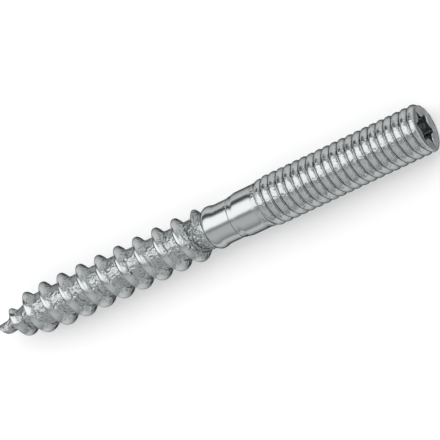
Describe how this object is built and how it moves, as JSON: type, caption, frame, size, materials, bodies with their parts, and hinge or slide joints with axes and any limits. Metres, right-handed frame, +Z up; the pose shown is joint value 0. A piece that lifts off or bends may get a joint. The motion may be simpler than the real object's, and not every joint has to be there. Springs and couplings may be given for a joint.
{
  "type": "hanger bolt",
  "caption": "Headless stud with a coarse wood thread and blunt point at one end, and a metric machine thread with a six-point drive socket in its face at the other.",
  "frame": {"origin": "on the surface that the bolt lies on, below the middle of its length and its axis", "axes": "+X along the bolt from the point to the machine end, +Z up from the surface, +Y across"},
  "size_m": [0.04, 0.0042, 0.0041],
  "materials": {
    "zinc_plated_steel": "bright zinc plating over cold-rolled steel"
  },
  "bodies": {
    "root": {"hanger_bolt": "zinc_plated_steel"}
  },
  "joints": []
}
